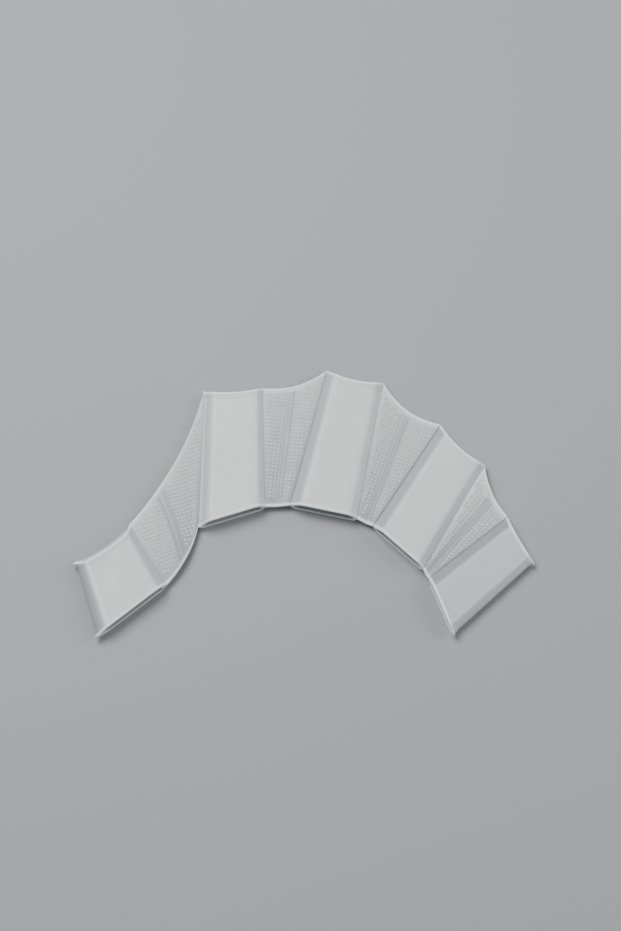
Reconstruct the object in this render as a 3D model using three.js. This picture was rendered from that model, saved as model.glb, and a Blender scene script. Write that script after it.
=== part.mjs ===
import * as THREE from 'three';
import { LoftGeometry } from 'three/addons/geometries/LoftGeometry.js';

// Webbed swim glove for one hand, moulded in soft silicone and lying flat on a surface.
// Five open finger sleeves stand side by side along the knuckles, and a thin web joins each
// to the next. Every free edge ends in a thicker bead, and each web has a rib down its middle.
// Millimetres: +X from the thumb to the little finger, +Y towards the fingertips, +Z up.

// Driving sizes
const SLEEVE_LENGTH = 65.5; // middle sleeve, from its palm mouth to its tip mouth
const SLEEVE_WIDTH = 30.5; // middle sleeve lying flat, at its palm mouth
const SLEEVE_HEIGHT = 9; // middle sleeve, from the surface to its crown, at its palm mouth
const SLEEVE_WALL = 1.1;
const KNUCKLE_GAP = 11.1; // from the index sleeve to the middle sleeve along the palm edge
const WEB_WALL = 0.8;
const BEAD_THICKNESS = 1.6; // of the beads along every mouth and every web edge
const RIB_WIDTH = 3.3;
const RIB_THICKNESS = 1.5;
const SEAM_GAP = 0.3; // clearance between a sleeve's side and the web beside it

// The sleeves, from the thumb to the little finger. lean is in degrees from +Y towards +X, and a
// heading in degrees from +X towards +Y. The lengths are shares: length of SLEEVE_LENGTH, the
// heights of SLEEVE_HEIGHT, and the rest of SLEEVE_WIDTH. tipSag is how far the middle of the tip
// mouth's edge lies on the palm side of its two corners, and setBack is how far the upper wall
// stops short of the lower one there. The palm mouths are cut straight across.
const SLEEVES = [
  { finger: 'thumb', lean: -24, length: 0.522,
    palmChord: 1.243, palmHeading: 38.2, palmHeight: 0.95,
    tipChord: 0.957, tipHeading: 35.8, tipSag: 0.06, tipHeight: 0.84, setBack: 0.085 },
  { finger: 'index', lean: 0.2, length: 0.914,
    palmChord: 1.025, palmHeading: 17.4, palmHeight: 1,
    tipChord: 0.883, tipHeading: 3.2, tipSag: 0.046, tipHeight: 0.86, setBack: 0.03 },
  { finger: 'middle', lean: 12.8, length: 1,
    palmChord: 1, palmHeading: -11.9, palmHeight: 1,
    tipChord: 0.858, tipHeading: -13.2, tipSag: 0.062, tipHeight: 0.86, setBack: 0.03 },
  { finger: 'ring', lean: 31.9, length: 0.861,
    palmChord: 0.963, palmHeading: -42, palmHeight: 0.97,
    tipChord: 0.889, tipHeading: -44.6, tipSag: 0.062, tipHeight: 0.85, setBack: 0.03 },
  { finger: 'little', lean: 49.8, length: 0.727,
    palmChord: 0.888, palmHeading: -67.9, palmHeight: 0.94,
    tipChord: 0.755, tipHeading: -61.9, tipSag: 0.015, tipHeight: 0.83, setBack: 0.03 },
];

// The webs, each named after the sleeve on its thumb side. palmGap is a share of KNUCKLE_GAP, at
// palmHeading. tipSag is as above, and palmBulge is how far the middle of the palm edge stands out
// past its two corners. ribPalm and ribTip say where across the web the rib meets its two edges.
// ribRise, thumbSwell and littleSwell are shares of SLEEVE_HEIGHT: how far the rib, and the panels
// on its thumb side and its little finger side, stand up or sink.
const WEBS = [
  { finger: 'thumb', palmGap: 2.657, palmHeading: 62.9, palmBulge: 0.066, tipSag: 0.14,
    ribPalm: 0.42, ribTip: 0.28, ribRise: 0.12, thumbSwell: -0.05, littleSwell: -0.12 },
  { finger: 'index', palmGap: 1, palmHeading: 3.6, palmBulge: 0, tipSag: 0.095,
    ribPalm: 0.49, ribTip: 0.42, ribRise: -0.1, thumbSwell: 0.03, littleSwell: 0.05 },
  { finger: 'middle', palmGap: 0.702, palmHeading: -25.1, palmBulge: 0, tipSag: 0.12,
    ribPalm: 0.53, ribTip: 0.51, ribRise: -0.1, thumbSwell: 0.05, littleSwell: 0.02 },
  { finger: 'ring', palmGap: 0.425, palmHeading: -59.8, palmBulge: 0, tipSag: 0.065,
    ribPalm: 0.57, ribTip: 0.58, ribRise: -0.06, thumbSwell: 0.1, littleSwell: 0.02 },
];

// A sleeve's flattened section: its walls meet at a seam line on each side, at SEAM_HEIGHT of its
// height, and curve away from it as a superellipse. The lower wall spreads flat on the surface.
const SEAM_HEIGHT = 0.45;
const SHOULDER_POWER = 6;
const CROWN_POWER = 1.5;
const SPREAD = 1.14; // how far past the surface the lower curve would reach if it were free
const ACROSS = [0, 0.3, 0.55, 0.72, 0.83, 0.91, 0.965]; // stations from the centre to the seam
const BEAD_FADES_FROM = 0.83; // station past which a joined side's bead runs out into the web's

// A bead's outline, from the free edge inwards: how far in, and how thick, in shares of its thickness.
const BEAD_OUTLINE = [
  { inward: 0, thickness: 0.45 },
  { inward: 0.22, thickness: 0.88 },
  { inward: 0.55, thickness: 1 },
  { inward: 1.1, thickness: 0 },
];
const ALONG = [0.25, 0.5, 0.75]; // stations between the beads, palm to tip
const WEB_ACROSS = [0, 0.25, 0.5, 0.75, 1]; // stations from a seam to the rib
const RIB_CREST = 0.55; // width of the rib's flat crest, of its whole width
const RIB_SHARE = 0.45; // the most of a narrow web's width that its rib may take
const EDGE_FOLD = 0.64; // depth of a web's folds at its two free edges, of their depth midway

const SILICONE = { color: 0xd2d5d6, roughness: 0.42, metalness: 0 };
const WEB_SILICONE = { color: 0xc9cdcf, roughness: 0.5, metalness: 0 };

const { lerp } = THREE.MathUtils;
const arch = (share) => 4 * share * (1 - share);
const easeIn = (share) => share * share * (3 - 2 * share);

function towards(degrees) {
  const angle = THREE.MathUtils.degToRad(degrees);
  return new THREE.Vector2(Math.cos(angle), Math.sin(angle));
}

// Lays out the palm edge as a chain of sleeve mouths and web edges, from the thumb, and stands
// each sleeve on its mouth. Returns each sleeve's four corners, in plan.
function layOutSleeves() {
  const corner = new THREE.Vector2();
  return SLEEVES.map((row, i) => {
    const palmLeft = corner.clone();
    corner.addScaledVector(towards(row.palmHeading), row.palmChord * SLEEVE_WIDTH);
    const palmRight = corner.clone();
    const tipCentre = palmLeft.clone().lerp(palmRight, 0.5);
    tipCentre.addScaledVector(towards(90 - row.lean), row.length * SLEEVE_LENGTH);
    const halfTip = towards(row.tipHeading).multiplyScalar((row.tipChord * SLEEVE_WIDTH) / 2);
    if (i < WEBS.length) {
      corner.addScaledVector(towards(WEBS[i].palmHeading), WEBS[i].palmGap * KNUCKLE_GAP);
    }
    return {
      palmLeft,
      palmRight,
      tipLeft: tipCentre.clone().sub(halfTip),
      tipRight: tipCentre.clone().add(halfTip),
    };
  });
}

// A place in plan on a four-cornered panel: across from its left side to its right one, along
// from its palm edge to its tip edge. Its palm edge bulges towards the palm, and its tip edge sags
// that way too.
function placeOn(corners, across, along, palmBulge, tipSag) {
  const left = corners.palmLeft.clone().lerp(corners.tipLeft, along);
  const right = corners.palmRight.clone().lerp(corners.tipRight, along);
  const palmward = new THREE.Vector2(right.y - left.y, left.x - right.x).normalize();
  const bow = lerp(palmBulge, tipSag, along) * arch(across);
  return left.lerp(right, across).addScaledVector(palmward, bow);
}

function sideLength(corners, across) {
  const left = corners.palmLeft.distanceTo(corners.tipLeft);
  return lerp(left, corners.palmRight.distanceTo(corners.tipRight), across);
}

// Rows along a wall from its palm edge to its tip edge. Each holds either how far it lies in from
// an edge and how thick the bead is there, or its share of the length between.
function wallRows() {
  const bead = BEAD_OUTLINE.map((step) => ({
    inset: step.inward * BEAD_THICKNESS,
    beadThickness: step.thickness * BEAD_THICKNESS,
    edge: step.inward === 0,
  }));
  const palm = bead.map((step) => ({ ...step, end: 'palm' }));
  const tip = bead.map((step) => ({ ...step, end: 'tip' })).reverse();
  const between = ALONG.map((share) => ({ share, beadThickness: 0, edge: false }));
  return [...palm, ...between, ...tip];
}

function alongShare(row, length) {
  if (row.end === 'palm') return row.inset / length;
  if (row.end === 'tip') return 1 - row.inset / length;
  return row.share;
}

// How thick a wall is at a row: as the bead where that is thicker, and cut back at the edge itself.
function thicknessAt(row, wall) {
  return row.edge ? row.beadThickness : Math.max(wall, row.beadThickness);
}

// Half-width shares round a sleeve's section: from the left seam over the crown to the right
// seam, and back along the lower wall.
function stationsRound() {
  const outwards = ACROSS.slice(1);
  const half = [-1, ...outwards.toReversed().map((x) => -x), 0, ...outwards, 1];
  const upper = half.map((x) => ({ x, upper: true }));
  const lower = half.slice(1, -1).reverse().map((x) => ({ x, upper: false }));
  return [...upper, ...lower];
}

// A sleeve's outer section as points of (sideways from its centre line, height).
function sectionPoints(stations, width, height) {
  const seam = SEAM_HEIGHT * height;
  return stations.map(({ x, upper }) => {
    const rise = (1 - Math.abs(x) ** SHOULDER_POWER) ** (1 / CROWN_POWER);
    const up = upper ? lerp(seam, height, rise) : seam * (1 - Math.min(1, SPREAD * rise));
    return new THREE.Vector2((x * width) / 2, up);
  });
}

// The outward normal at each point of a section that runs clockwise.
function sectionNormals(points) {
  return points.map((_, i) => {
    const before = points[(i + points.length - 1) % points.length];
    const after = points[(i + 1) % points.length];
    return new THREE.Vector2(before.y - after.y, after.x - before.x).normalize();
  });
}

// A sleeve is one closed wall, lofted along its outside from palm to tip and back along its inside.
// Its beads stand proud of the outside only, and run out where a web's bead meets them.
function sleeveGeometry(row, corners, joined) {
  const stations = stationsRound();
  const palmWidth = row.palmChord * SLEEVE_WIDTH;
  const tipWidth = row.tipChord * SLEEVE_WIDTH;

  const ringAt = (wallRow, outer) => {
    const midShare = alongShare(wallRow, sideLength(corners, 0.5));
    const width = lerp(palmWidth, tipWidth, midShare);
    const height = lerp(row.palmHeight, row.tipHeight, midShare) * SLEEVE_HEIGHT;
    const seam = SEAM_HEIGHT * height;
    const points = sectionPoints(stations, width, height);
    const normals = sectionNormals(points);
    const proud = thicknessAt(wallRow, SLEEVE_WALL) - SLEEVE_WALL;
    return points.map((point, i) => {
      const { x, upper } = stations[i];
      const reach = (1 - Math.abs(x)) / (1 - BEAD_FADES_FROM);
      const isJoined = x < 0 ? joined.left : joined.right;
      const share = proud > 0 && isJoined ? Math.min(1, reach) : 1;
      const moved = point.clone().addScaledVector(normals[i], outer ? proud * share : -SLEEVE_WALL);
      moved.y = Math.max(outer ? 0 : SLEEVE_WALL, moved.y);
      const across = 0.5 + moved.x / width;
      const crownShare = upper ? (point.y - seam) / (height - seam) : 0;
      const length = sideLength(corners, across);
      const shortfall = (row.setBack * SLEEVE_WIDTH * crownShare) / length;
      const along = alongShare(wallRow, length) * (1 - shortfall);
      const place = placeOn(corners, across, along, 0, row.tipSag * SLEEVE_WIDTH);
      return new THREE.Vector3(place.x, place.y, moved.y);
    });
  };

  const rows = wallRows();
  const outside = rows.map((wallRow) => ringAt(wallRow, true));
  const inside = rows.map((wallRow) => ringAt(wallRow, false)).reverse();
  return new LoftGeometry([...outside, ...inside, outside[0]]);
}

// A web's four corners are those of the sleeve sides that it joins.
function webCorners(thumbSide, littleSide) {
  return {
    palmLeft: thumbSide.palmRight,
    palmRight: littleSide.palmLeft,
    tipLeft: thumbSide.tipRight,
    tipRight: littleSide.tipLeft,
  };
}

// How much of a web's breadth the clearance to a sleeve's side takes, where that side is met aslant.
function seamShare(corners, along, palmCorner, tipCorner) {
  const left = corners.palmLeft.clone().lerp(corners.tipLeft, along);
  const breadth = corners.palmRight.clone().lerp(corners.tipRight, along).sub(left);
  const side = tipCorner.clone().sub(palmCorner).normalize();
  return SEAM_GAP / Math.abs(breadth.cross(side));
}

function seamHeight(row, along) {
  return SEAM_HEIGHT * SLEEVE_HEIGHT * lerp(row.palmHeight, row.tipHeight, along);
}

// Columns across a web, from its left seam to its right seam, round the rib between them.
function webColumns() {
  const left = WEB_ACROSS.map((share) => ({ side: 'left', share, crest: false }));
  const rib = [-RIB_CREST, 0, RIB_CREST].map((share) => ({ side: 'rib', share, crest: true }));
  const right = WEB_ACROSS.map((share) => ({ side: 'right', share, crest: false })).reverse();
  return [...left, ...rib, ...right];
}

// A web is a thin wall between two sleeves, lofted from one seam to the other.
function webGeometry(row, corners, thumbSide, littleSide) {
  const pointAt = (column, wallRow, face) => {
    const midAlong = alongShare(wallRow, sideLength(corners, 0.5));
    const ribAcross = lerp(row.ribPalm, row.ribTip, midAlong);
    const start = seamShare(corners, midAlong, corners.palmLeft, corners.tipLeft);
    const end = 1 - seamShare(corners, midAlong, corners.palmRight, corners.tipRight);
    const left = corners.palmLeft.clone().lerp(corners.tipLeft, midAlong);
    const breadth = left.distanceTo(corners.palmRight.clone().lerp(corners.tipRight, midAlong));
    const halfRib = Math.min(RIB_WIDTH / breadth, RIB_SHARE) / 2;
    const across = {
      left: lerp(start, ribAcross - halfRib, column.share),
      rib: ribAcross + halfRib * column.share,
      right: lerp(end, ribAcross + halfRib, column.share),
    }[column.side];

    const along = alongShare(wallRow, sideLength(corners, across));
    const place = placeOn(
      corners, across, along, row.palmBulge * SLEEVE_WIDTH, row.tipSag * SLEEVE_WIDTH,
    );
    const toRib = across < ribAcross ? across / ribAcross : (1 - across) / (1 - ribAcross);
    const swell = across < ribAcross ? row.thumbSwell : row.littleSwell;
    const fold = row.ribRise * easeIn(toRib) + swell * Math.sin(Math.PI * toRib);
    const seam = lerp(seamHeight(thumbSide, along), seamHeight(littleSide, along), across);
    const wall = thicknessAt(wallRow, column.crest ? RIB_THICKNESS : WEB_WALL);
    const height = seam + fold * lerp(EDGE_FOLD, 1, arch(along)) * SLEEVE_HEIGHT;
    return new THREE.Vector3(place.x, place.y, height + (face * wall) / 2);
  };

  const rows = wallRows();
  const sections = webColumns().map((column) => [
    ...rows.map((wallRow) => pointAt(column, wallRow, 1)).reverse(),
    ...rows.map((wallRow) => pointAt(column, wallRow, -1)),
  ]);
  return new LoftGeometry(sections, { capStart: true, capEnd: true });
}

function namedMesh(name, geometry, finish) {
  const mesh = new THREE.Mesh(geometry, new THREE.MeshStandardMaterial(finish));
  mesh.name = name;
  return mesh;
}

const glove = new THREE.Group();
const plan = layOutSleeves();
SLEEVES.forEach((row, i) => {
  const joined = { left: i > 0, right: i < WEBS.length };
  glove.add(namedMesh(`${row.finger}_sleeve`, sleeveGeometry(row, plan[i], joined), SILICONE));
});
WEBS.forEach((row, i) => {
  const geometry = webGeometry(row, webCorners(plan[i], plan[i + 1]), SLEEVES[i], SLEEVES[i + 1]);
  glove.add(namedMesh(`${row.finger}_web`, geometry, WEB_SILICONE));
});

// The origin is on the surface, under the middle of the glove's outline.
const middle = new THREE.Box3().setFromObject(glove).getCenter(new THREE.Vector3());
glove.position.set(-middle.x, -middle.y, 0);

export default glove;
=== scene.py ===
"""Webbed swim glove in moulded silicone, lying flat in a plain studio, laid out as a Blender add-on."""

import math
from collections import namedtuple

import bmesh
import bpy
from bpy.props import FloatProperty, FloatVectorProperty, PointerProperty
from mathutils import Matrix, Vector, noise
from mathutils.bvhtree import BVHTree


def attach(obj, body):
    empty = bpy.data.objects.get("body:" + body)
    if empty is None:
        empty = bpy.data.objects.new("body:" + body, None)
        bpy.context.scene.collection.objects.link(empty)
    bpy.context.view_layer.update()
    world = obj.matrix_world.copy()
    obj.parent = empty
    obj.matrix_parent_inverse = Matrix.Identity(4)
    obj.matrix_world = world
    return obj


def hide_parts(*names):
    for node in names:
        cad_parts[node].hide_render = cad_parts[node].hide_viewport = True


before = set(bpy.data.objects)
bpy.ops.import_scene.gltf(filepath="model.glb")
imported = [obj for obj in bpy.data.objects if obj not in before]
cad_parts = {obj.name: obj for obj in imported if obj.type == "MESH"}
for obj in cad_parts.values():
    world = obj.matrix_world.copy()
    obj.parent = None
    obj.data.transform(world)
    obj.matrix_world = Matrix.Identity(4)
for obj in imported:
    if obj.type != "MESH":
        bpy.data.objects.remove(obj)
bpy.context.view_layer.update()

bl_info = {
    "name": "Webbed Swim Glove",
    "version": (1, 0, 0),
    "blender": (4, 5, 0),
    "location": "3D View > Sidebar > Swim Glove",
    "description": "Makes the finger sleeves, the webs between them and a plain studio",
    "category": "Object",
}

MM = 0.001
BODY = "root"

# The finger sleeves, from the thumb to the little finger. lean is in degrees from +Y towards +X, and
# a heading in degrees from +X towards +Y. The rest are shares of the middle sleeve's size: length of
# its length, the two heights of its height, and the others of its width. tip_sag is how far the
# middle of the tip mouth lies back from its corners, and set_back how far the upper wall stops short.
# crown_grey is how much painted shade greys the crown, from 0 to 1.
Sleeve = namedtuple(
    "Sleeve",
    "finger lean length palm_chord palm_heading palm_height "
    "tip_chord tip_heading tip_sag tip_height set_back crown_grey",
)
SLEEVES = (
    Sleeve("thumb", -24, 0.522, 1.243, 38.2, 0.95, 0.957, 35.8, 0.06, 0.84, 0.085, 0.25),
    Sleeve("index", 0.2, 0.914, 1.025, 17.4, 1, 0.883, 3.2, 0.046, 0.86, 0.03, 0),
    Sleeve("middle", 12.8, 1, 1, -11.9, 1, 0.858, -13.2, 0.062, 0.86, 0.03, 0.05),
    Sleeve("ring", 31.9, 0.861, 0.963, -42, 0.97, 0.889, -44.6, 0.062, 0.85, 0.03, 0.05),
    Sleeve("little", 49.8, 0.727, 0.888, -67.9, 0.94, 0.755, -61.9, 0.015, 0.83, 0.03, 0.38),
)

# The two shoulders of each sleeve, on its thumb side and on its little finger side. width is how wide
# the slope is from the seam to the crown, as a share of half the sleeve's width. ledge is how much of
# it lies flat beside the seam, and lower the width of the slope underneath. step is how much of the
# rise is a step at the seam, and ridge how far the shoulder's top stands above the crown, as a share
# of the sleeve's height. grey is how much painted shade greys the slope, from 0 to 1, and fade
# where on the slope that starts to end. pale is how much of the bead's colour is painted
# on the ridge as a highlight, and nub how much fatter the bead is at that side's corners.
Shoulder = namedtuple("Shoulder", "width ledge lower step ridge grey fade pale nub")
SHOULDERS = {
    "thumb": (
        Shoulder(0.33, 0, 0.3, 0.16, 0.02, 0.95, 0.15, 0.6, 1.8),
        Shoulder(0.25, 0, 0.12, 0.16, 0.006, 0.6, 0.7, 0, 0),
    ),
    "index": (
        Shoulder(0.34, 0.3, 0.12, 0.04, 0, 0.42, 0, 0, 0),
        Shoulder(0.24, 0, 0.12, 0.16, 0.006, 0.14, 0.7, 0, 0),
    ),
    "middle": (
        Shoulder(0.36, 0, 0.12, 0.16, 0.006, 0.55, 0.5, 0, 0),
        Shoulder(0.28, 0, 0.12, 0.16, 0.006, 0.05, 0.7, 0, 0),
    ),
    "ring": (
        Shoulder(0.4, 0, 0.12, 0.16, 0.006, 0.7, 0.6, 0, 0),
        Shoulder(0.25, 0, 0.12, 0.16, 0.006, 0, 0.7, 0, 0),
    ),
    "little": (
        Shoulder(0.44, 0, 0.12, 0.16, 0.006, 1, 0.7, 0, 0),
        Shoulder(0.3, 0, 0.3, 0.16, 0.01, 0.1, 0.7, 0.3, 1.8),
    ),
}

# The webs, each named after the sleeve on its thumb side. palm_gap is a share of the knuckle gap,
# and palm_bulge and tip_sag are shares of the sleeve width. rib_palm and rib_tip say where across the
# web its rib meets the two edges. The next three are shares of the sleeve height: how far the rib and
# the panels on its two sides stand up or sink. seam is how strongly painted shade darkens the groove
# on its little finger side, and thumb_full stands in for WEB_FULLNESS on its thumb side,
# set for each web to paint the light and shade that falls on that half.
Web = namedtuple(
    "Web",
    "finger palm_gap palm_heading palm_bulge tip_sag rib_palm rib_tip "
    "rib_rise thumb_swell little_swell seam thumb_full",
)
WEBS = (
    Web("thumb", 2.657, 62.9, 0.066, 0.14, 0.42, 0.28, 0.12, -0.05, -0.12, 0, 0.15),
    Web("index", 1, 3.6, 0, 0.095, 0.49, 0.42, -0.1, 0.03, 0.05, 0.6, 0.17),
    Web("middle", 0.702, -25.1, 0, 0.12, 0.53, 0.51, -0.1, 0.05, 0.02, 1, 0.2),
    Web("ring", 0.425, -59.8, 0, 0.065, 0.57, 0.58, -0.06, 0.1, 0.02, 1, 0.3),
)

# Where the palm edge starts, at the thumb sleeve's free corner.
PALM_START = (-90.512 * MM, -61.707 * MM)

# A sleeve's flattened section. The wall steps up from the seam, slopes up over the shoulder and
# rounds off into the crown. A depth is a share of the shoulder's width.
SEAM_HEIGHT = 0.45
STEP_STEEPNESS = 9
SHOULDER_STEEPNESS = 1.15
SHOULDER_SHARPNESS = 7
RIDGE_DEPTH = 0.95
RIDGE_BREADTH = 0.15
SIDE_WALL = 1.3  # thickness of a sleeve's wall at its folded sides, in shares of the wall
NORMAL_STEP = 0.03  # radians to each side of the place where a section's normal is taken
NUB_REACH = 2 * MM

# How finely the pieces are made.
ROUND_SECTION = 128
BEAD_STEPS = 9
SLEEVE_ROWS = 26
WEB_ROWS = 44
FIELD_COLUMNS = 9

# How a bead looks: its pale colour, partly the thick silicone's own whiteness and partly a painted
# highlight, blurs into the wall's. The lower rim keeps only a thin pale line, and the whole underside
# is greyed with painted shade, which shows inside the mouths.
BEAD_BLUR = 0.3
LOWER_LINE = 0.5 * MM
SHADED_UNDERSIDE_FULLNESS = 0.25

# The strip beside each bead, from the edge of a mouth or a web inwards.
STRIP_STEPS = (2 * MM, 2.5 * MM)
STRIP_END = 2.75 * MM
STRIP_FOOT = 2.95 * MM
PALM_MARGIN = 3.5 * MM  # where the strip is over and the pips may start
TIP_MARGIN = 3.1 * MM

# Places on a web, from a sleeve inwards and across the rib.
SEAM_OVERLAP = 0.45 * MM  # how far the web is let into the sleeve's wall, where they are one moulding
FLANGE = 0.55 * MM
FLANGE_THICKNESS = 1.05 * MM  # on the web's thumb side
GROOVE_THICKNESS = 0.45 * MM  # on its little finger side, in the groove of a seam that shows
FLANGE_STEPS = (0, 0.28, 0.5, 0.75, 1)
RIB_STEPS = (-1, -0.84, -0.7, -0.56, -0.3, 0, 0.3, 0.56, 0.7, 0.84, 1)
RIB_CREST = 0.56
RIB_SHARE = 0.45
FULL_BREADTH = 10 * MM  # a web narrower than this has a narrower flange too
EDGE_FOLD = 0.64
PIP_ROOT = 0.15 * MM  # how far a pip is let into the web
PIP_EDGE = 0.08 * MM  # its rounded top edge
PIP_PALENESS = 1.0  # how much of the bead's colour it has
PIP_CLEARANCE = 0.15 * MM  # between the rib and the first pips
RAY_START = 50 * MM  # well above or below the glove

# How thick the silicone of a web looks, up to 1: between the pips, on the rib and on the strips. The
# rib, though thicker, is greyed darker than the web with painted shade. All of them are multiplied by
# the palm end's factor at that end, and by the tip end's at the other, so a web is darker towards its
# palm end.
WEB_FULLNESS = 0.16
SHADED_RIB_FULLNESS = 0.08
STRIP_FULLNESS = 0.23
PALM_FULLNESS = 0.36
TIP_FULLNESS = 3.6

# A lower rim lifts the wall beside it off the surface, over this run.
LIFT_RUN = 5 * MM

# Noise in the lie of the walls, in waves per metre.
SLEEVE_WAVES = 55
WEB_WAVES = 90

# The silicone's finish. A scale is in waves per metre, a range is the noise that counts, and a depth
# is how deep the bumps look.
CLOUD_SCALE = 42
CLOUD_DETAIL = 3
CLOUD_STRAIN = 0.4
CLOUD_RANGE = (0.35, 0.7)
SKIN_DETAIL = 2
GLOSS_SCALE = 160
GLOSS_RANGE = (0.3, 0.7)
SMOOTHER = 0.06  # how far the roughness goes below the stated one
ROUGHER = 0.08  # and above it
SOFT_SCALE = 260
SOFT_DEPTH = 0.25 * MM
SOFT_STRENGTH = 0.25
GRAIN_SCALE = 2600
GRAIN_DEPTH = 0.04 * MM
GRAIN_STRENGTH = 0.3
SCATTER_RADIUS = (1, 1.05, 1.15)
REFRACTION = 1.41

# The studio: its paper floor, its two lamps, the air and the camera.
PAPER_SCALE = 2.5
PAPER_DETAIL = 2
PAPER_SHADE = 0.97  # how bright the paper's darker patches are beside the rest
PAPER_ROUGHNESS = 0.85
PAPER_SHINE = 0.25
FLOOR_SEGMENTS = 96
FLOOR_RISE_STEPS = 12
Lamp = namedtuple("Lamp", "name size place aim")
KEY_LAMP = Lamp("key_light", 0.45, Vector((-0.3, 0.3, 0.8)), Vector((-0.03, 0, 0)))
FILL_LAMP = Lamp("fill_light", 0.6, Vector((0.9, 0.1, 0.6)), Vector((0, 0, 0)))
AIR_COLOUR = (0.84, 0.86, 0.88, 1)
CAMERA_AIM = Vector((2.77 * MM, 17.96 * MM, 0))
SENSOR_WIDTH = 36  # in millimetres
FAR_CLIP = 20


def lerp(start, end, share):
    return start + (end - start) * share


def arch(share):
    return 4 * share * (1 - share)


def ease(share):
    share = min(1.0, max(0.0, share))
    return share * share * (3 - 2 * share)


def soft_limit(value):
    return value / (1 + value ** SHOULDER_SHARPNESS) ** (1 / SHOULDER_SHARPNESS)


def towards(degrees):
    angle = math.radians(degrees)
    return Vector((math.cos(angle), math.sin(angle)))


def length_property(name, description, default):
    return FloatProperty(
        name=name, description=description, default=default, min=0, precision=5,
        unit="LENGTH", subtype="DISTANCE",
    )


def colour_property(name, description, default):
    return FloatVectorProperty(
        name=name, description=description, default=default, size=4, min=0, max=1, subtype="COLOR"
    )


class SwimGloveSizes(bpy.types.PropertyGroup):
    """Sizes of the glove"""

    sleeve_length: length_property("Sleeve length", "Middle sleeve, from palm mouth to tip mouth", 65.5 * MM)
    sleeve_width: length_property("Sleeve width", "Middle sleeve lying flat, at its palm mouth", 30.5 * MM)
    sleeve_height: length_property("Sleeve height", "Middle sleeve at its palm mouth", 9 * MM)
    sleeve_wall: length_property("Sleeve wall", "Thickness of the sleeves' walls", 1.1 * MM)
    knuckle_gap: length_property("Knuckle gap", "Index sleeve to middle sleeve, on the palm edge", 11.1 * MM)
    web_wall: length_property("Web wall", "Thickness of the webs between their pips", 0.8 * MM)
    bead: length_property("Bead", "Thickness of the bead along every free edge", 1.6 * MM)
    strip: length_property("Strip", "How far the strip beside a bead stands up", 0.14 * MM)
    rib_width: length_property("Rib width", "Width of the rib down each web", 3.3 * MM)
    rib_thickness: length_property("Rib thickness", "Thickness of the rib down each web", 1.3 * MM)
    pip_pitch: length_property("Pip pitch", "From one raised pip to the next", 1.73 * MM)
    pip_size: length_property("Pip size", "Width of a raised pip", 1.25 * MM)
    pip_height: length_property("Pip height", "How far a pip stands up from the web", 0.24 * MM)
    pip_round: length_property("Pip rounding", "Cut off each corner of a pip", 0.28 * MM)
    ripple: length_property("Ripple", "How uneven the soft walls lie", 0.14 * MM)


class SwimGloveFinish(bpy.types.PropertyGroup):
    """Colours and gloss of the silicone"""

    body: colour_property("Silicone", "Colour of the thick walls", (0.71, 0.715, 0.72, 1))
    cloud: colour_property("Clouding", "Colour of the milky clouds in the walls", (0.65, 0.66, 0.665, 1))
    # The thin silicone's colour also serves as painted shade on the sleeves' slopes, crowns and undersides
    # and on the webs' ribs.
    thin: colour_property("Thin silicone", "Colour where the silicone is thin", (0.34, 0.355, 0.365, 1))
    # The seam's dark colour is painted shade in the groove beside the next sleeve.
    seam: colour_property("Seam", "Colour of the seam beside the next sleeve", (0.26, 0.27, 0.28, 1))
    # The bead's colour is partly the thick silicone's own whiteness and partly a painted highlight along the
    # edges; it also paints the highlights on the sleeves' ridges.
    bead: colour_property("Bead", "Colour of the beads", (0.9, 0.915, 0.92, 1))
    roughness: FloatProperty(
        name="Roughness", description="Mean roughness of the silicone", default=0.4, min=0, max=1,
        subtype="FACTOR",
    )
    scatter: FloatProperty(
        name="Scatter", description="Share of the light that goes in and spreads", default=0.35, min=0, max=1,
        subtype="FACTOR",
    )
    depth: length_property("Scatter depth", "How deep the light goes", 0.7 * MM)


class SwimGloveStage(bpy.types.PropertyGroup):
    """The studio"""

    floor: colour_property("Floor", "Colour of the floor", (0.36, 0.365, 0.375, 1))
    radius: length_property("Floor radius", "Radius of the flat part of the floor", 1.6)
    rise: length_property("Floor rise", "Radius of the curve that turns the floor up into a wall", 1.2)
    elevation: FloatProperty(
        name="Elevation", description="Camera angle above the floor", default=math.radians(74),
        unit="ROTATION", subtype="ANGLE",
    )
    distance: length_property("Distance", "Camera to the point that it looks at", 0.98919)
    lens: FloatProperty(name="Lens", description="Focal length of the camera", default=85, unit="CAMERA")
    key_power: FloatProperty(
        name="Key light", description="Power of the overhead light", default=9, unit="POWER"
    )
    fill_power: FloatProperty(
        name="Fill light", description="Power of the side light", default=4, unit="POWER"
    )
    air: FloatProperty(name="Air", description="Brightness of the air all round", default=0.45, min=0)


# Outline in plan

class Panel:
    """A four-cornered panel in plan: a palm edge, a tip edge and two straight sides."""

    def __init__(self, palm_left, palm_right, tip_left, tip_right, palm_bulge=0.0, tip_sag=0.0):
        self.palm_left = palm_left
        self.palm_right = palm_right
        self.tip_left = tip_left
        self.tip_right = tip_right
        self.palm_bulge = palm_bulge
        self.tip_sag = tip_sag

    def ends(self, along):
        return self.palm_left.lerp(self.tip_left, along), self.palm_right.lerp(self.tip_right, along)

    def place(self, across, along):
        """The point that far across and along, with both edges bowed towards the palm."""
        left, right = self.ends(along)
        palmward = Vector((right.y - left.y, left.x - right.x)).normalized()
        bow = lerp(self.palm_bulge, self.tip_sag, along) * arch(across)
        return left.lerp(right, across) + palmward * bow

    def side_length(self, across):
        left = (self.tip_left - self.palm_left).length
        return lerp(left, (self.tip_right - self.palm_right).length, across)

    def share_in(self, along, distance, from_left):
        """How far across lies the point at that distance from one side, square to the side."""
        left, right = self.ends(along)
        side = self.tip_left - self.palm_left if from_left else self.tip_right - self.palm_right
        share = distance / abs((right - left).cross(side.normalized()))
        return share if from_left else 1 - share


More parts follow.
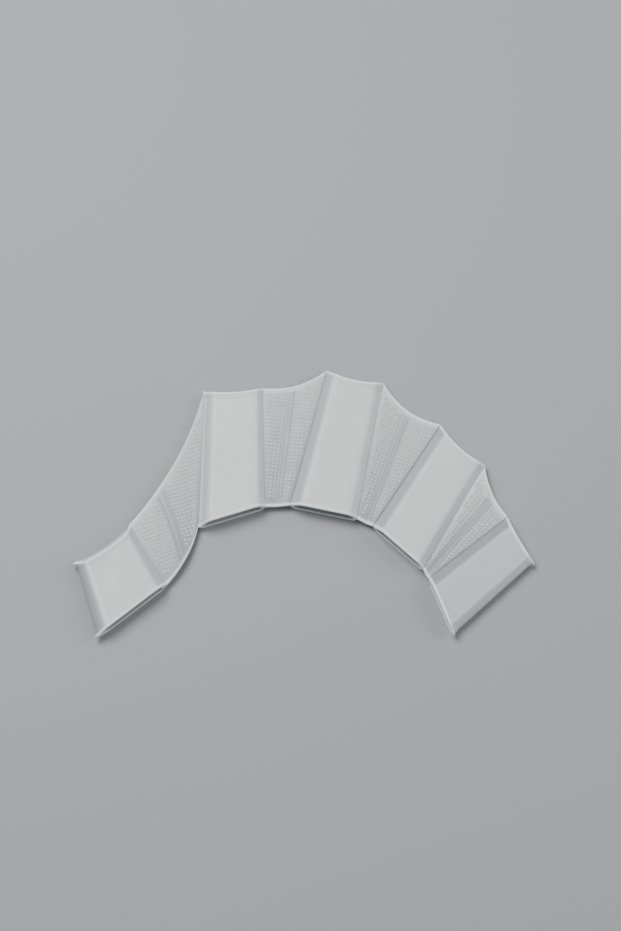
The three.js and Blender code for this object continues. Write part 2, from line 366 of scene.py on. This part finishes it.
def lay_out_sleeves(sizes):
    """Lays the palm edge out as a chain from the thumb, and stands each sleeve on its stretch of it."""
    panels = []
    corner = Vector(PALM_START)
    for i, row in enumerate(SLEEVES):
        palm_left = corner.copy()
        corner = corner + towards(row.palm_heading) * row.palm_chord * sizes.sleeve_width
        palm_right = corner.copy()
        axis = towards(90 - row.lean) * row.length * sizes.sleeve_length
        half_tip = towards(row.tip_heading) * row.tip_chord * sizes.sleeve_width / 2
        tip_middle = palm_left.lerp(palm_right, 0.5) + axis
        sag = row.tip_sag * sizes.sleeve_width
        panels.append(Panel(palm_left, palm_right, tip_middle - half_tip, tip_middle + half_tip, 0.0, sag))
        if i < len(WEBS):
            corner = corner + towards(WEBS[i].palm_heading) * WEBS[i].palm_gap * sizes.knuckle_gap
    return panels


def web_panel(sizes, row, thumb_side, little_side):
    return Panel(
        thumb_side.palm_right, little_side.palm_left, thumb_side.tip_right, little_side.tip_left,
        row.palm_bulge * sizes.sleeve_width, row.tip_sag * sizes.sleeve_width,
    )


# Rows along a wall

WallRow = namedtuple("WallRow", "end inset share level")


def along_share(row, length):
    """How far along a wall of that length a row lies."""
    if row.end == "palm":
        return row.inset / length
    if row.end == "tip":
        return 1 - row.inset / length
    return lerp(PALM_MARGIN / length, 1 - TIP_MARGIN / length, row.share)


def bead_share(row, breadth):
    """How much of the bead's colour a row has, where the bead looks that broad."""
    if row.end == "between":
        return 0.0
    return ease((breadth - row.inset) / (breadth * BEAD_BLUR))


def strip_share(row):
    """1 on the strip beside a bead and 0 on the wall further in."""
    if row.end == "between":
        return 0.0
    return 1.0 if row.inset <= STRIP_END else 0.0


# Finger sleeves

def sleeve_height_at(sizes, row, along):
    return lerp(row.palm_height, row.tip_height, along) * sizes.sleeve_height


class Section:
    """A sleeve's section at one place along it. Its angles run from the little finger side over the crown
    to the thumb side and back underneath, and its points are sideways and upward distances."""

    def __init__(self, sizes, row, along):
        self.wall = sizes.sleeve_wall
        self.shoulders = SHOULDERS[row.finger]
        self.width = lerp(row.palm_chord, row.tip_chord, along) * sizes.sleeve_width
        self.height = sleeve_height_at(sizes, row, along)
        self.seam = SEAM_HEIGHT * self.height
        self.crown_grey = row.crown_grey

    def shoulder(self, angle):
        thumb_side, little_side = self.shoulders
        return thumb_side if math.cos(angle) < 0 else little_side

    def depth(self, angle):
        """How far in from the side, in shares of the shoulder's width."""
        side = self.shoulder(angle)
        return (1 - abs(math.cos(angle))) / (side.lower if math.sin(angle) < 0 else side.width)

    def rise(self, angle):
        """How far the wall has come from the seam up to the crown, or down to the flat underside."""
        depth = self.depth(angle)
        if math.sin(angle) < 0:
            return soft_limit(SHOULDER_STEEPNESS * depth)
        side = self.shoulder(angle)
        slope = soft_limit(SHOULDER_STEEPNESS * max(0.0, depth - side.ledge) / (1 - side.ledge))
        step = soft_limit(STEP_STEEPNESS * depth)
        return lerp(slope, step, side.step) + side.ridge * self.on_ridge(angle)

    def on_ridge(self, angle):
        return math.exp(-((self.depth(angle) - RIDGE_DEPTH) / RIDGE_BREADTH) ** 2)

    def outer(self, angle):
        crown = 0 if math.sin(angle) < 0 else self.height
        return Vector((math.cos(angle) * self.width / 2, lerp(self.seam, crown, self.rise(angle))))

    def inner(self, angle):
        crown = self.wall if math.sin(angle) < 0 else self.height - self.wall
        half_width = self.width / 2 - SIDE_WALL * self.wall
        return Vector((math.cos(angle) * half_width, lerp(self.seam, crown, self.rise(angle))))

    def normal(self, angle):
        run = self.outer(angle + NORMAL_STEP) - self.outer(angle - NORMAL_STEP)
        return Vector((run.y, -run.x)).normalized()

    def fullness_and_shade(self, angle):
        """How thick the wall looks, which here is painted shade: less on the shoulders' slopes, on the crown
        and underneath.
        """
        if math.sin(angle) < 0:
            return SHADED_UNDERSIDE_FULLNESS
        side = self.shoulder(angle)
        return 1 - lerp(side.grey, self.crown_grey, ease((self.depth(angle) - side.fade) / (1 - side.fade)))

    # The painted highlight on a shoulder's ridge, as a share of the bead's pale colour.
    def painted_highlight(self, angle):
        return self.shoulder(angle).pale * self.on_ridge(angle) if math.sin(angle) > 0 else 0.0

    def nub(self, angle):
        """How much fatter the bead is here, at a free corner."""
        from_side = (1 - abs(math.cos(angle))) * self.width / 2
        return 1 + self.shoulder(angle).nub * ease(1 - from_side / NUB_REACH)


def sleeve_rows(sizes):
    """Rows round a sleeve's wall, lengthwise: over the palm bead, along the outside, over the tip bead
    and back along the inside. level is the height above the inner face."""
    radius = sizes.bead / 2
    strip = sizes.sleeve_wall + sizes.strip
    last = math.pi - math.asin(strip / radius - 1)
    angles = [lerp(-math.pi / 2, last, i / BEAD_STEPS) for i in range(BEAD_STEPS + 1)]
    edge = [(radius * (1 - math.cos(a)), radius * (1 + math.sin(a))) for a in angles]
    edge += [(inset, strip) for inset in (*STRIP_STEPS, STRIP_END)]
    edge += [(STRIP_FOOT, sizes.sleeve_wall)]
    shares = [i / SLEEVE_ROWS for i in range(SLEEVE_ROWS + 1)]
    rows = [WallRow("palm", inset, 0, level) for inset, level in edge]
    rows += [WallRow("between", 0, share, sizes.sleeve_wall) for share in shares]
    rows += [WallRow("tip", inset, 0, level) for inset, level in reversed(edge)]
    rows += [WallRow("between", 0, share, 0) for share in reversed(shares)]
    return rows


def sleeve_point(sizes, row, panel, section, angle, wall_row):
    outer, inner = section.outer(angle), section.inner(angle)
    depth = min(1.0, wall_row.level / sizes.sleeve_wall)
    proud = max(0.0, wall_row.level - sizes.sleeve_wall) * section.nub(angle)
    point = inner.lerp(outer, depth) + section.normal(angle) * proud

    rise = min(1.0, section.rise(angle))
    upper = math.sin(angle) >= 0
    across = 0.5 + point.x / section.width
    length = panel.side_length(across)
    shortfall = row.set_back * sizes.sleeve_width * rise / length if upper else 0
    along = along_share(wall_row, length) * (1 - shortfall)
    place = panel.place(across, along)

    from_edge = min(along, 1 - along) * length
    if upper:
        wave = noise.noise(Vector((place.x, place.y, 0)) * SLEEVE_WAVES) * sizes.ripple
        lift = wave * rise * ease(from_edge / LIFT_RUN)
    else:
        lift = (sizes.bead - sizes.sleeve_wall) * rise * ease(1 - from_edge / LIFT_RUN)
    return Vector((place.x, place.y, max(0.0, point.y + lift)))


def ring_edges(ring):
    inside = set(ring)
    return [edge for edge in {e for v in ring for e in v.link_edges} if set(edge.verts) <= inside]


def sleeve_mesh(sizes, row, panel):
    """Runs a circle out along the outside of the sleeve and back inside, and joins the ends."""
    bm = bmesh.new()
    turn = bm.verts.layers.float.new("turn")
    bead = bm.verts.layers.float.new("bead")
    fullness_and_shade = bm.verts.layers.float.new("fullness_and_shade")
    rows = sleeve_rows(sizes)

    ring = bmesh.ops.create_circle(bm, segments=ROUND_SECTION, radius=1)["verts"]
    for vert in ring:
        vert[turn] = math.atan2(vert.co.y, vert.co.x)
    first = ring
    for i, wall_row in enumerate(rows):
        if i > 0:
            made = bmesh.ops.extrude_edge_only(bm, edges=ring_edges(ring))["geom"]
            ring = [item for item in made if isinstance(item, bmesh.types.BMVert)]
        section = Section(sizes, row, along_share(wall_row, panel.side_length(0.5)))
        for vert in ring:
            vert.co = sleeve_point(sizes, row, panel, section, vert[turn], wall_row)
            # On the underside the bead's colour keeps to a thin line and the rest is left to painted shade;
            # the ridges take a painted highlight, and the slopes, crown and underside painted shade.
            breadth = LOWER_LINE if math.sin(vert[turn]) < 0 else sizes.bead
            vert[bead] = max(bead_share(wall_row, breadth), section.painted_highlight(vert[turn]))
            vert[fullness_and_shade] = section.fullness_and_shade(vert[turn])
    bmesh.ops.bridge_loops(bm, edges=ring_edges(first) + ring_edges(ring))
    return bm


# Webs

def web_rows(sizes):
    """Rows along a web: up over the palm bead and the strip beside it, between the margins, and over
    the tip's strip and bead. level is half the thickness there."""
    radius = sizes.bead / 2
    strip = sizes.web_wall / 2 + sizes.strip
    last = math.pi - math.asin(strip / radius)
    angles = [last * i / BEAD_STEPS for i in range(1, BEAD_STEPS + 1)]
    edge = [(radius * (1 - math.cos(a)), radius * math.sin(a)) for a in angles]
    edge += [(inset, strip) for inset in (*STRIP_STEPS, STRIP_END)]
    edge += [(STRIP_FOOT, 0)]
    rows = [WallRow("palm", inset, 0, level) for inset, level in edge]
    rows += [WallRow("between", 0, i / WEB_ROWS, 0) for i in range(WEB_ROWS + 1)]
    rows += [WallRow("tip", inset, 0, level) for inset, level in reversed(edge)]
    return rows


WebColumn = namedtuple("WebColumn", "zone share")


def web_columns():
    """Columns across a web: the flange on the thumb side, a field, the rib, a field and the other flange."""
    shares = [i / FIELD_COLUMNS for i in range(1, FIELD_COLUMNS)]
    columns = [WebColumn("left flange", share) for share in FLANGE_STEPS]
    columns += [WebColumn("left field", share) for share in shares]
    columns += [WebColumn("rib", share) for share in RIB_STEPS]
    columns += [WebColumn("right field", share) for share in reversed(shares)]
    columns += [WebColumn("right flange", share) for share in reversed(FLANGE_STEPS)]
    return columns


def rib_across(row, along):
    return lerp(row.rib_palm, row.rib_tip, along)


def web_across(sizes, row, panel, column, along):
    """How far across the web a column lies at that share of its length."""
    left, right = panel.ends(along)
    breadth = (right - left).length
    squeeze = min(1.0, breadth / FULL_BREADTH)
    rib = rib_across(row, along)
    half_rib = min(sizes.rib_width / breadth, RIB_SHARE) / 2
    if column.zone == "rib":
        return rib + half_rib * column.share
    from_left = column.zone.startswith("left")
    if column.zone.endswith("flange"):
        distance = lerp(-SEAM_OVERLAP, FLANGE * squeeze, column.share)
        return panel.share_in(along, distance, from_left)
    start = panel.share_in(along, FLANGE * squeeze, from_left)
    return lerp(start, rib - half_rib if from_left else rib + half_rib, column.share)


def web_thickness(sizes, web, column):
    if column.zone == "rib":
        return lerp(sizes.web_wall, sizes.rib_thickness, ease((1 - abs(column.share)) / (1 - RIB_CREST)))
    if column.zone == "left flange":
        return lerp(FLANGE_THICKNESS, sizes.web_wall, ease(column.share))
    if column.zone == "right flange" and web.seam > 0:
        return lerp(GROOVE_THICKNESS, sizes.web_wall, ease(column.share))
    return sizes.web_wall


def web_fullness_and_shade(web, column, row):
    """How thick the web looks, from 0 to 1, with painted shade on the rib and painted light and shade on the
    thumb side: lighter from the palm end to the tip end.
    """
    if strip_share(row) > 0:
        fullness_and_shade = STRIP_FULLNESS
    elif column.zone == "rib":
        fullness_and_shade = SHADED_RIB_FULLNESS
    else:
        fullness_and_shade = web.thumb_full if column.zone.startswith("left") else WEB_FULLNESS
    tipward = 1 if row.end == "tip" else row.share
    return min(1.0, fullness_and_shade * lerp(PALM_FULLNESS, TIP_FULLNESS, tipward))


def web_height(sizes, row, sides, across, along):
    """Height of a web's middle surface, from its folds and the seams that it hangs between."""
    rib = rib_across(row, along)
    to_rib = max(0.0, across / rib if across < rib else (1 - across) / (1 - rib))
    swell = row.thumb_swell if across < rib else row.little_swell
    fold = row.rib_rise * ease(to_rib) + swell * math.sin(math.pi * to_rib)
    seams = [SEAM_HEIGHT * sleeve_height_at(sizes, side, along) for side in sides]
    return lerp(*seams, across) + fold * lerp(EDGE_FOLD, 1, arch(along)) * sizes.sleeve_height


def web_point(sizes, row, panel, sides, column, wall_row, face):
    middle = along_share(wall_row, panel.side_length(0.5))
    across = web_across(sizes, row, panel, column, middle)
    along = along_share(wall_row, panel.side_length(across))
    place = panel.place(across, along)
    half = max(web_thickness(sizes, row, column) / 2, wall_row.level)
    if wall_row.end != "between" and wall_row.inset < sizes.bead / 2:
        half = wall_row.level
    wave = noise.noise(Vector((place.x, place.y, 0)) * WEB_WAVES) * sizes.ripple
    return Vector((place.x, place.y, web_height(sizes, row, sides, across, along) + wave + face * half))


def plate_mesh(sizes, row, panel, sides):
    """A web without its pips: a grid with thickness, draped over the folds, with rounded beads."""
    bm = bmesh.new()
    column_layer = bm.verts.layers.float.new("column")
    row_layer = bm.verts.layers.float.new("row")
    face_layer = bm.verts.layers.float.new("face")
    bead = bm.verts.layers.float.new("bead")
    fullness_and_shade = bm.verts.layers.float.new("fullness_and_shade")
    seam = bm.verts.layers.float.new("seam")
    columns, rows = web_columns(), web_rows(sizes)
    outermost = min(r.inset for r in rows if r.end != "between")

    bmesh.ops.create_grid(bm, x_segments=len(columns) - 1, y_segments=len(rows) - 1, size=0.5)
    for vert in bm.verts:
        vert[column_layer] = round((vert.co.x + 0.5) * (len(columns) - 1))
        vert[row_layer] = round((vert.co.y + 0.5) * (len(rows) - 1))
        vert[face_layer] = -1
    made = bmesh.ops.extrude_face_region(bm, geom=bm.faces[:])["geom"]
    for vert in made:
        if isinstance(vert, bmesh.types.BMVert):
            vert[face_layer] = 1
    upright = [edge for edge in bm.edges if edge.verts[0][face_layer] != edge.verts[1][face_layer]]
    bmesh.ops.subdivide_edges(bm, edges=upright, cuts=1)

    for vert in bm.verts:
        column = columns[round(vert[column_layer])]
        wall_row = rows[round(vert[row_layer])]
        face = round(vert[face_layer])
        if face == 0 and wall_row.end != "between" and wall_row.inset == outermost:
            wall_row = wall_row._replace(inset=0)
        vert.co = web_point(sizes, row, panel, sides, column, wall_row, face)
        vert[bead] = bead_share(wall_row, sizes.bead)
        # How thick the web looks, with painted shade on the rib and painted light and shade on the thumb
        # side.
        vert[fullness_and_shade] = web_fullness_and_shade(row, column, wall_row)
        # Painted shade in the groove of the seam on the little finger side.
        vert[seam] = row.seam if column.zone == "right flange" and column.share < 1 else 0
    return bm, columns, rows


def field_faces(plate, columns, rows):
    """Numbers of the plate's faces that carry pips: clear of the edges, the flanges and the rib."""
    column_layer = plate.verts.layers.float["column"]
    row_layer = plate.verts.layers.float["row"]
    found = set()
    for face in plate.faces:
        zones = [columns[round(vert[column_layer])] for vert in face.verts]
        between = all(rows[round(vert[row_layer])].end == "between" for vert in face.verts)
        clear = all(zone.zone.endswith("field") or zone.share in (1, -1) for zone in zones)
        on_rib = all(zone.zone == "rib" for zone in zones)
        if between and clear and not on_rib:
            found.add(face.index)
    return found


def pip_grid(sizes, row, panel):
    """A flat grid over the whole web in line with its rib, whose middle column takes up the rib's width."""
    start, end = panel.place(row.rib_palm, 0), panel.place(row.rib_tip, 1)
    along = (end - start).normalized()
    turn = Matrix((
        (along.y, along.x, 0, start.x),
        (-along.x, along.y, 0, start.y),
        (0, 0, 1, 0),
        (0, 0, 0, 1),
    ))
    corners = (panel.palm_left, panel.palm_right, panel.tip_left, panel.tip_right)
    reach = [turn.inverted() @ corner.to_3d() for corner in corners]
    half_wide = math.ceil(max(abs(corner.x) for corner in reach) / sizes.pip_pitch)
    low = math.floor(min(corner.y for corner in reach) / sizes.pip_pitch)
    high = math.ceil(max(corner.y for corner in reach) / sizes.pip_pitch)
    wide, deep = 2 * half_wide + 1, high - low
    spread = Matrix.Diagonal((wide * sizes.pip_pitch, deep * sizes.pip_pitch, 1, 1))
    centre = Matrix.Translation((0, (low + high) / 2 * sizes.pip_pitch, 0))
    bm = bmesh.new()
    bmesh.ops.create_grid(bm, x_segments=wide, y_segments=deep, size=0.5, matrix=centre @ spread)
    half_gap = sizes.rib_width / 2 + PIP_CLEARANCE - (sizes.pip_pitch - sizes.pip_size) / 2
    for vert in bm.verts:
        vert.co.x += math.copysign(half_gap - sizes.pip_pitch / 2, vert.co.x)
    bmesh.ops.transform(bm, matrix=turn, verts=bm.verts[:])
    return bm


def pip_mesh(sizes, row, panel, plate, columns, rows):
    """The raised pips of both faces: every grid cell whose pip lies whole in a field carries one."""
    plate.faces.index_update()
    tree = BVHTree.FromBMesh(plate)
    field = field_faces(plate, columns, rows)
    above, down = Vector((0, 0, RAY_START)), Vector((0, 0, -1))

    def in_field(cell):
        centre = cell.calc_center_median()
        corners = [centre.lerp(vert.co, sizes.pip_size / sizes.pip_pitch) for vert in cell.verts]
        return all(tree.ray_cast(corner + above, down)[2] in field for corner in corners)

    bm = pip_grid(sizes, row, panel)
    outside = [cell for cell in bm.faces if not in_field(cell)]
    bmesh.ops.delete(bm, geom=outside, context="FACES")
    gap = (sizes.pip_pitch - sizes.pip_size) / 2
    frames = bmesh.ops.inset_individual(bm, faces=bm.faces[:], thickness=gap, use_even_offset=True)["faces"]
    bmesh.ops.delete(bm, geom=frames, context="FACES")
    bmesh.ops.bevel(
        bm, geom=bm.verts[:], affect="VERTICES", offset=sizes.pip_round, segments=1, profile=0.5, material=-1
    )
    for vert in bm.verts:
        vert.co.z = -PIP_ROOT
    made = bmesh.ops.extrude_face_region(bm, geom=bm.faces[:])["geom"]
    lids = [item for item in made if isinstance(item, bmesh.types.BMFace)]
    for vert in {vert for lid in lids for vert in lid.verts}:
        vert.co.z = sizes.pip_height
    rims = list({edge for lid in lids for edge in lid.edges})
    bmesh.ops.bevel(bm, geom=rims, affect="EDGES", offset=PIP_EDGE, segments=2, profile=0.5, material=-1)
    below = bmesh.ops.duplicate(bm, geom=bm.verts[:] + bm.edges[:] + bm.faces[:])["geom"]
    under = {item for item in below if isinstance(item, bmesh.types.BMVert)}

    bead = bm.verts.layers.float.new("bead")
    fullness_and_shade = bm.verts.layers.float.new("fullness_and_shade")
    for vert in bm.verts:
        vert[bead] = PIP_PALENESS if vert.co.z > 0 else 0
        vert[fullness_and_shade] = 1 if vert.co.z > 0 else 0
        side = -1 if vert in under else 1
        start = Vector((vert.co.x, vert.co.y, side * RAY_START))
        vert.co.z = tree.ray_cast(start, Vector((0, 0, -side)))[0].z + side * vert.co.z
    return bm


def web_mesh(sizes, row, panel, sides):
    """A web's plate and its pips, joined."""
    bm, columns, rows = plate_mesh(sizes, row, panel, sides)
    pips = pip_mesh(sizes, row, panel, bm, columns, rows)
    joined = bpy.data.meshes.new("pips")
    pips.to_mesh(joined)
    pips.free()
    bm.from_mesh(joined)
    bpy.data.meshes.remove(joined)
    return bm


# Finish

def material(name):
    made = bpy.data.materials.new(name)
    made.use_nodes = True
    return made


def noise_node(tree, coordinates, scale, detail, strain=0.0):
    node = tree.nodes.new("ShaderNodeTexNoise")
    node.inputs["Scale"].default_value = scale
    node.inputs["Detail"].default_value = detail
    node.inputs["Distortion"].default_value = strain
    tree.links.new(coordinates, node.inputs["Vector"])
    return node.outputs["Fac"]


def attribute_node(tree, name):
    node = tree.nodes.new("ShaderNodeAttribute")
    node.attribute_name = name
    return node.outputs["Fac"]


def colour_mix(tree, share, first, second):
    """Mixes two colours, each either a colour or another node's output."""
    node = tree.nodes.new("ShaderNodeMix")
    node.data_type = "RGBA"
    tree.links.new(share, node.inputs["Factor"])
    for socket, value in ((node.inputs["A"], first), (node.inputs["B"], second)):
        if isinstance(value, bpy.types.NodeSocket):
            tree.links.new(value, socket)
        else:
            socket.default_value = value
    return node.outputs["Result"]


def remap(tree, value, old, new):
    """Maps one range of values, lowest and highest, onto another."""
    node = tree.nodes.new("ShaderNodeMapRange")
    tree.links.new(value, node.inputs["Value"])
    for name, number in zip(("From Min", "From Max", "To Min", "To Max"), (*old, *new)):
        node.inputs[name].default_value = number
    return node.outputs["Result"]


def bump(tree, height, depth, strength, under=None):
    node = tree.nodes.new("ShaderNodeBump")
    node.inputs["Distance"].default_value = depth
    node.inputs["Strength"].default_value = strength
    tree.links.new(height, node.inputs["Height"])
    if under is not None:
        tree.links.new(under, node.inputs["Normal"])
    return node.outputs["Normal"]


def silicone(name, finish):
    """Milky silicone: clouded thick walls, greyer where it is thin and where shade is painted, paler beads
    that also carry painted highlights, a darker painted shade in the seams' grooves and a satin skin.
    """
    made = material(name)
    tree = made.node_tree
    shader = tree.nodes["Principled BSDF"]
    coordinates = tree.nodes.new("ShaderNodeTexCoord").outputs["Object"]
    clouds = noise_node(tree, coordinates, CLOUD_SCALE, CLOUD_DETAIL, CLOUD_STRAIN)
    body = colour_mix(tree, remap(tree, clouds, CLOUD_RANGE, (0, 1)), finish.body, finish.cloud)
    # Greyer where the silicone is thin and where shade is painted.
    body = colour_mix(tree, attribute_node(tree, "fullness_and_shade"), finish.thin, body)
    # Paler on the beads and pips, and with painted highlights on the beads and ridges.
    body = colour_mix(tree, attribute_node(tree, "bead"), body, finish.bead)
    # Darker with painted shade in the seams' grooves.
    body = colour_mix(tree, attribute_node(tree, "seam"), body, finish.seam)
    tree.links.new(body, shader.inputs["Base Color"])
    gloss = noise_node(tree, coordinates, GLOSS_SCALE, SKIN_DETAIL)
    roughness = (finish.roughness - SMOOTHER, finish.roughness + ROUGHER)
    tree.links.new(remap(tree, gloss, GLOSS_RANGE, roughness), shader.inputs["Roughness"])
    soft = noise_node(tree, coordinates, SOFT_SCALE, SKIN_DETAIL)
    soft = bump(tree, soft, SOFT_DEPTH, SOFT_STRENGTH)
    grain = noise_node(tree, coordinates, GRAIN_SCALE, SKIN_DETAIL)
    grain = bump(tree, grain, GRAIN_DEPTH, GRAIN_STRENGTH, soft)
    tree.links.new(grain, shader.inputs["Normal"])
    shader.inputs["Subsurface Weight"].default_value = finish.scatter
    shader.inputs["Subsurface Radius"].default_value = SCATTER_RADIUS
    shader.inputs["Subsurface Scale"].default_value = finish.depth
    shader.inputs["IOR"].default_value = REFRACTION
    return made


def floor_paper(stage):
    """Matt studio paper with a faint unevenness."""
    made = material("floor_paper")
    tree = made.node_tree
    shader = tree.nodes["Principled BSDF"]
    coordinates = tree.nodes.new("ShaderNodeTexCoord").outputs["Object"]
    darker = [channel * PAPER_SHADE for channel in stage.floor[:3]] + [1]
    patches = noise_node(tree, coordinates, PAPER_SCALE, PAPER_DETAIL)
    paper = colour_mix(tree, patches, stage.floor, darker)
    tree.links.new(paper, shader.inputs["Base Color"])
    shader.inputs["Roughness"].default_value = PAPER_ROUGHNESS
    shader.inputs["Specular IOR Level"].default_value = PAPER_SHINE
    return made


def add_piece(bm, name, node, finish_material):
    """Turns a bmesh into an object that stands for a node of the frame."""
    bmesh.ops.recalc_face_normals(bm, faces=bm.faces[:])
    mesh = bpy.data.meshes.new(name)
    bm.to_mesh(mesh)
    bm.free()
    mesh.shade_smooth()
    mesh.materials.append(finish_material)
    piece = bpy.data.objects.new(name, mesh)
    bpy.context.scene.collection.objects.link(piece)
    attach(piece, BODY)
    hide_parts(node)
    return piece


# Steps

class SWIMGLOVE_OT_sleeves(bpy.types.Operator):
    """Makes the five finger sleeves"""

    bl_idname = "swim_glove.sleeves"
    bl_label = "Make finger sleeves"

    def execute(self, context):
        sizes = context.scene.swim_glove_sizes
        finish = silicone("sleeve_silicone", context.scene.swim_glove_finish)
        for row, panel in zip(SLEEVES, lay_out_sleeves(sizes)):
            bm = sleeve_mesh(sizes, row, panel)
            add_piece(bm, f"{row.finger}_sleeve_wall", f"{row.finger}_sleeve", finish)
        return {"FINISHED"}


class SWIMGLOVE_OT_webs(bpy.types.Operator):
    """Makes the four webs between the sleeves"""

    bl_idname = "swim_glove.webs"
    bl_label = "Make webs"

    def execute(self, context):
        sizes = context.scene.swim_glove_sizes
        finish = silicone("web_silicone", context.scene.swim_glove_finish)
        sleeves = lay_out_sleeves(sizes)
        for i, row in enumerate(WEBS):
            panel = web_panel(sizes, row, sleeves[i], sleeves[i + 1])
            bm = web_mesh(sizes, row, panel, SLEEVES[i:i + 2])
            add_piece(bm, f"{row.finger}_web_plate", f"{row.finger}_web", finish)
        return {"FINISHED"}


class SWIMGLOVE_OT_stage(bpy.types.Operator):
    """Makes the floor, the lights and the camera"""

    bl_idname = "swim_glove.stage"
    bl_label = "Make studio"

    def execute(self, context):
        stage = context.scene.swim_glove_stage
        add_floor(stage)
        add_lights(context, stage)
        add_camera(context, stage)
        return {"FINISHED"}


# Studio

def add_floor(stage):
    """A round floor whose rim curves up into a low wall, so that no edge shows behind the glove."""
    bm = bmesh.new()
    ring = bmesh.ops.create_circle(bm, cap_ends=True, segments=FLOOR_SEGMENTS, radius=stage.radius)["verts"]
    for i in range(1, FLOOR_RISE_STEPS + 1):
        made = bmesh.ops.extrude_edge_only(bm, edges=ring_edges(ring))["geom"]
        ring = [item for item in made if isinstance(item, bmesh.types.BMVert)]
        angle = math.pi / 2 * i / FLOOR_RISE_STEPS
        reach = stage.radius + stage.rise * math.sin(angle)
        lift = Vector((0, 0, stage.rise * (1 - math.cos(angle))))
        for vert in ring:
            outwards = Vector((vert.co.x, vert.co.y, 0)).normalized()
            vert.co = outwards * reach + lift
    mesh = bpy.data.meshes.new("studio_floor")
    bm.to_mesh(mesh)
    bm.free()
    mesh.shade_smooth()
    mesh.materials.append(floor_paper(stage))
    floor = bpy.data.objects.new("studio_floor", mesh)
    bpy.context.scene.collection.objects.link(floor)


def add_light(context, lamp, power):
    light = bpy.data.lights.new(lamp.name, "AREA")
    light.energy = power
    light.size = lamp.size
    made = bpy.data.objects.new(lamp.name, light)
    made.location = lamp.place
    made.rotation_euler = (lamp.aim - lamp.place).to_track_quat("-Z", "Y").to_euler()
    context.scene.collection.objects.link(made)


def add_lights(context, stage):
    add_light(context, KEY_LAMP, stage.key_power)
    add_light(context, FILL_LAMP, stage.fill_power)
    world = bpy.data.worlds.new("studio_air")
    world.use_nodes = True
    background = world.node_tree.nodes["Background"]
    background.inputs["Color"].default_value = AIR_COLOUR
    background.inputs["Strength"].default_value = stage.air
    context.scene.world = world


def add_camera(context, stage):
    lens = bpy.data.cameras.new("camera")
    lens.lens = stage.lens
    lens.sensor_width = SENSOR_WIDTH
    lens.clip_end = FAR_CLIP
    camera = bpy.data.objects.new("camera", lens)
    back = Vector((0, -math.cos(stage.elevation), math.sin(stage.elevation)))
    camera.location = CAMERA_AIM + back * stage.distance
    camera.rotation_euler = (-back).to_track_quat("-Z", "Y").to_euler()
    context.scene.collection.objects.link(camera)
    context.scene.camera = camera


# Panel and registration

class SWIMGLOVE_PT_panel(bpy.types.Panel):
    """Lists the sizes, the finish and the steps"""

    bl_idname = "SWIMGLOVE_PT_panel"
    bl_label = "Webbed Swim Glove"
    bl_space_type = "VIEW_3D"
    bl_region_type = "UI"
    bl_category = "Swim Glove"

    def draw(self, context):
        for settings in ("swim_glove_sizes", "swim_glove_finish", "swim_glove_stage"):
            group = getattr(context.scene, settings)
            box = self.layout.box()
            for name in group.__annotations__:
                box.prop(group, name)
        for step in (SWIMGLOVE_OT_sleeves, SWIMGLOVE_OT_webs, SWIMGLOVE_OT_stage):
            self.layout.operator(step.bl_idname)


CLASSES = (
    SwimGloveSizes,
    SwimGloveFinish,
    SwimGloveStage,
    SWIMGLOVE_OT_sleeves,
    SWIMGLOVE_OT_webs,
    SWIMGLOVE_OT_stage,
    SWIMGLOVE_PT_panel,
)


def register():
    for cls in CLASSES:
        bpy.utils.register_class(cls)
    bpy.types.Scene.swim_glove_sizes = PointerProperty(type=SwimGloveSizes)
    bpy.types.Scene.swim_glove_finish = PointerProperty(type=SwimGloveFinish)
    bpy.types.Scene.swim_glove_stage = PointerProperty(type=SwimGloveStage)


def unregister():
    del bpy.types.Scene.swim_glove_stage
    del bpy.types.Scene.swim_glove_finish
    del bpy.types.Scene.swim_glove_sizes
    for cls in reversed(CLASSES):
        bpy.utils.unregister_class(cls)


def main():
    register()
    bpy.ops.swim_glove.stage()
    bpy.ops.swim_glove.sleeves()
    bpy.ops.swim_glove.webs()


if __name__ == "__main__":
    main()
